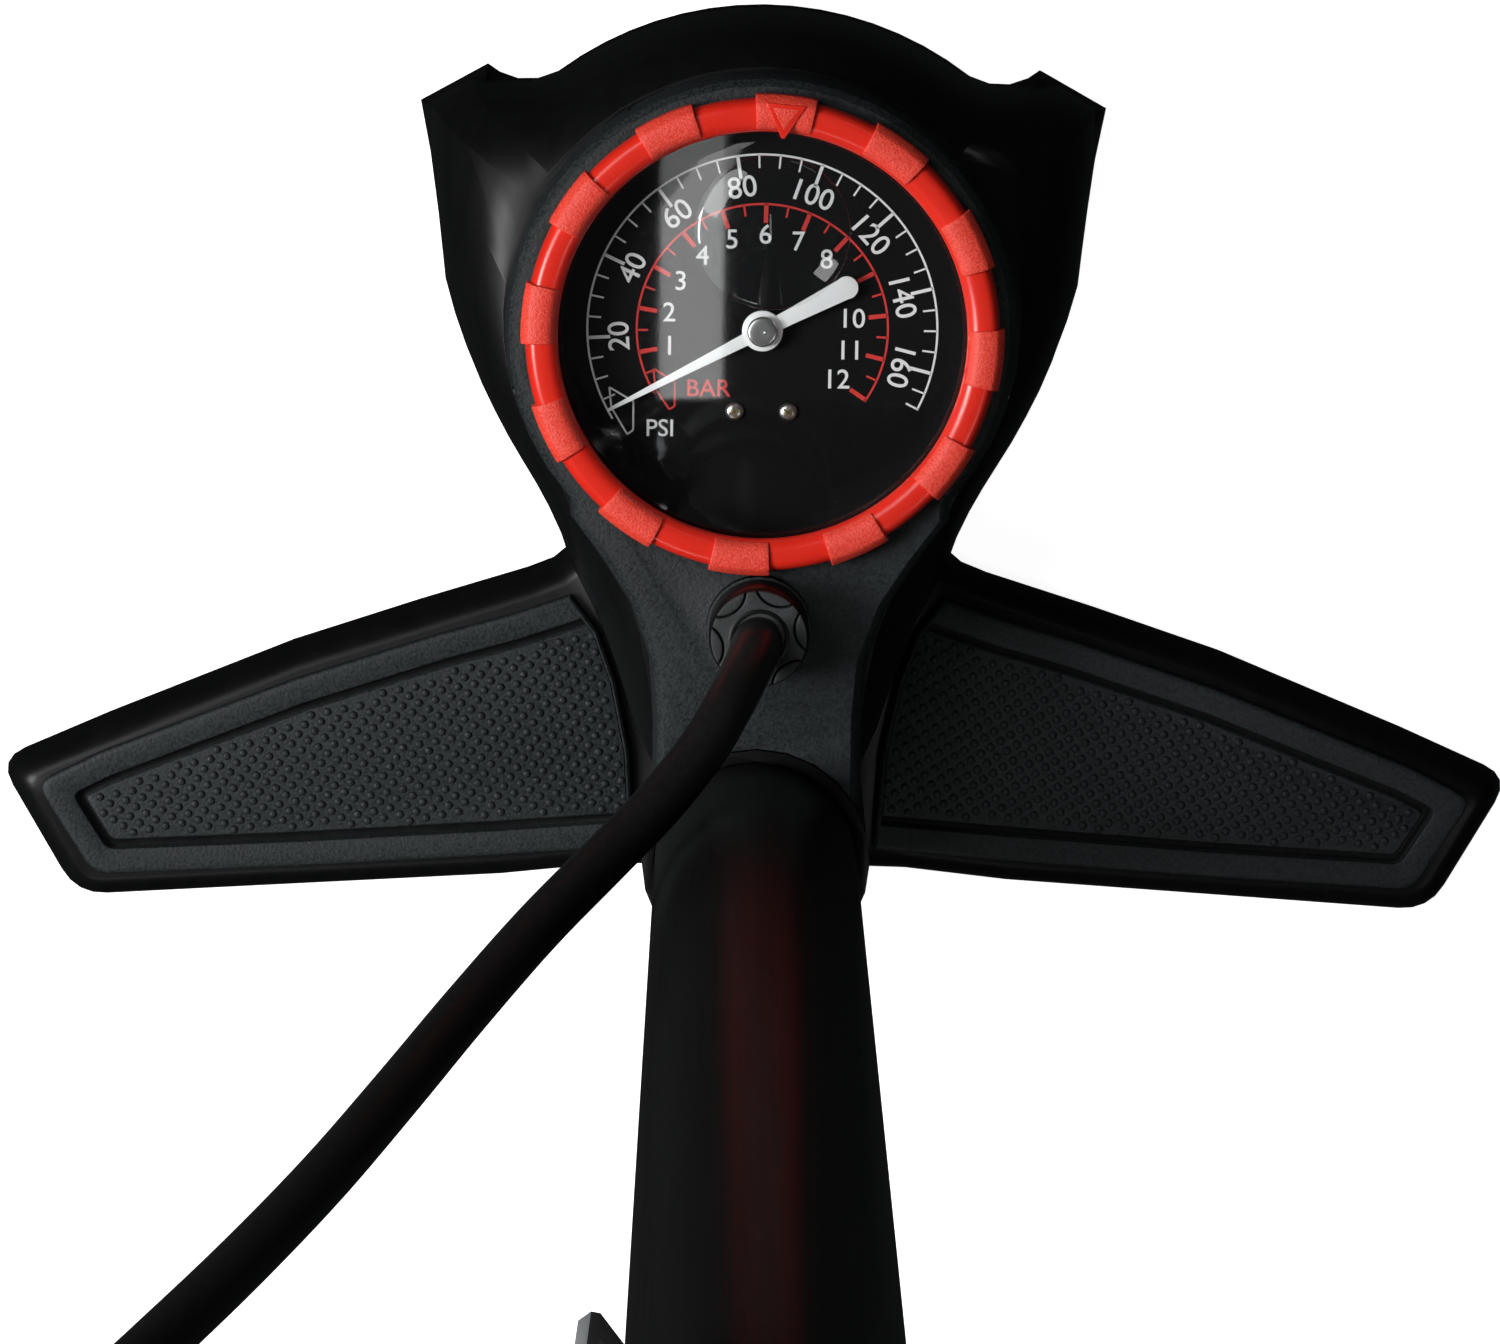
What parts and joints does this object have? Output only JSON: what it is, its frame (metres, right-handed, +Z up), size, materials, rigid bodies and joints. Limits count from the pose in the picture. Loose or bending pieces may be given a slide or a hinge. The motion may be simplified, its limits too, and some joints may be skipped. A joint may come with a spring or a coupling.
{
  "type": "floor bike pump",
  "caption": "Upright floor pump with a wide two-pedal base, a large round gauge in a teardrop housing, a T-handle and a hose with a lever head parked on the barrel.",
  "frame": {"origin": "on the barrel's axis at floor level, at the middle of the rubber pad under the barrel", "axes": "+Z up the barrel, +Y from the barrel to the gauge, +X to the right of a user who stands on the pedals facing the gauge"},
  "size_m": [0.2952, 0.2058, 0.6098],
  "materials": {
    "gloss_black": "polished black moulding or lacquer",
    "satin_grey": "fine spark-eroded dark grey",
    "red_plastic": "glossy red with textured lugs",
    "rubber": "smooth black",
    "steel": "bright",
    "alloy": "satin cast",
    "brass": "machined",
    "white_enamel": "white",
    "dial": "satin black with printed scales",
    "clear": "clear moulded plastic"
  },
  "bodies": {
    "base": {"base_body": "gloss_black", "pedal_pad_left": "satin_grey", "pedal_pad_right": "satin_grey", "gauge_housing": "satin_grey", "housing_screw_1": "steel", "housing_screw_2": "steel", "housing_screw_3": "steel", "housing_screw_4": "steel", "foot_pad_center": "rubber", "foot_pad_left": "rubber", "foot_pad_right": "rubber", "foot_pad_front_left": "rubber", "foot_pad_front_right": "rubber", "gauge_can": "steel", "gauge_stem": "brass", "bourdon_tube": "brass", "movement_plate": "brass", "gauge_dial": "dial", "dial_screw_left": "steel", "dial_screw_right": "steel", "foot_valve_body": "brass", "check_valve_spring": "steel", "air_pipe": "rubber", "hose_barb": "brass", "hose_nut": "gloss_black", "hose": "rubber", "barrel": "gloss_black", "barrel_plug": "satin_grey", "plug_seal": "rubber", "barrel_cap": "satin_grey", "cap_bush": "rubber", "head_clip": "satin_grey", "clip_screw": "steel", "head_body": "satin_grey", "head_cap": "gloss_black", "head_grommet": "rubber"},
    "rod": {"piston_rod": "steel", "piston_body": "white_enamel", "piston_cup": "rubber", "piston_nut": "steel", "rod_bumper": "rubber", "handle_core": "gloss_black", "handle_screw": "steel", "grip_left": "rubber", "grip_right": "rubber", "grip_cap_left": "satin_grey", "grip_cap_right": "satin_grey"},
    "bezel": {"bezel_ring": "red_plastic", "gauge_window": "clear"},
    "needle": {"needle": "white_enamel", "needle_hub": "steel", "pinion_arbor": "brass"},
    "sector": {"sector_gear": "brass"},
    "lever": {"head_lever": "alloy", "lever_pin": "steel"},
    "plunger": {"head_plunger": "brass"},
    "valve_disc": {"check_valve_disc": "rubber"}
  },
  "joints": [
    {"name": "pump_stroke", "type": "slide", "parent": "base", "child": "rod", "axis": [0, 0, 1], "range_m": [0, 0.465]},
    {"name": "bezel_turn", "type": "hinge", "parent": "base", "child": "bezel", "pos_m": [0, 0.1, 0.06], "axis": [0, 0, 1], "continuous": true},
    {"name": "sector_turn", "type": "hinge", "parent": "base", "child": "sector", "pos_m": [0, 0.1175, 0.0478], "axis": [0, 0, 1], "range_deg": [0, 40.5], "stiffness_Nm_per_rad": 0.002},
    {"name": "needle_swing", "type": "hinge", "parent": "base", "child": "needle", "pos_m": [0, 0.1, 0.053], "axis": [0, 0, 1], "range_deg": [-243, 0]},
    {"name": "head_lever_turn", "type": "hinge", "parent": "base", "child": "lever", "pos_m": [-0.021, 0.0205, 0.494], "axis": [0.6, -0.8, 0], "range_deg": [0, 95]},
    {"name": "plunger_slide", "type": "slide", "parent": "base", "child": "plunger", "axis": [0, 0, 1], "range_m": [0, 0.0016]},
    {"name": "check_valve_lift", "type": "slide", "parent": "base", "child": "valve_disc", "axis": [0, 0, -1], "range_m": [0, 0.0015], "stiffness_N_per_m": 200, "deforming": ["check_valve_spring"]}
  ],
  "couplings": [
    {"joint": "needle_swing", "follows": "sector_turn", "ratio": -6},
    {"joint": "plunger_slide", "follows": "head_lever_turn", "m_per_rad": 0.0009}
  ]
}
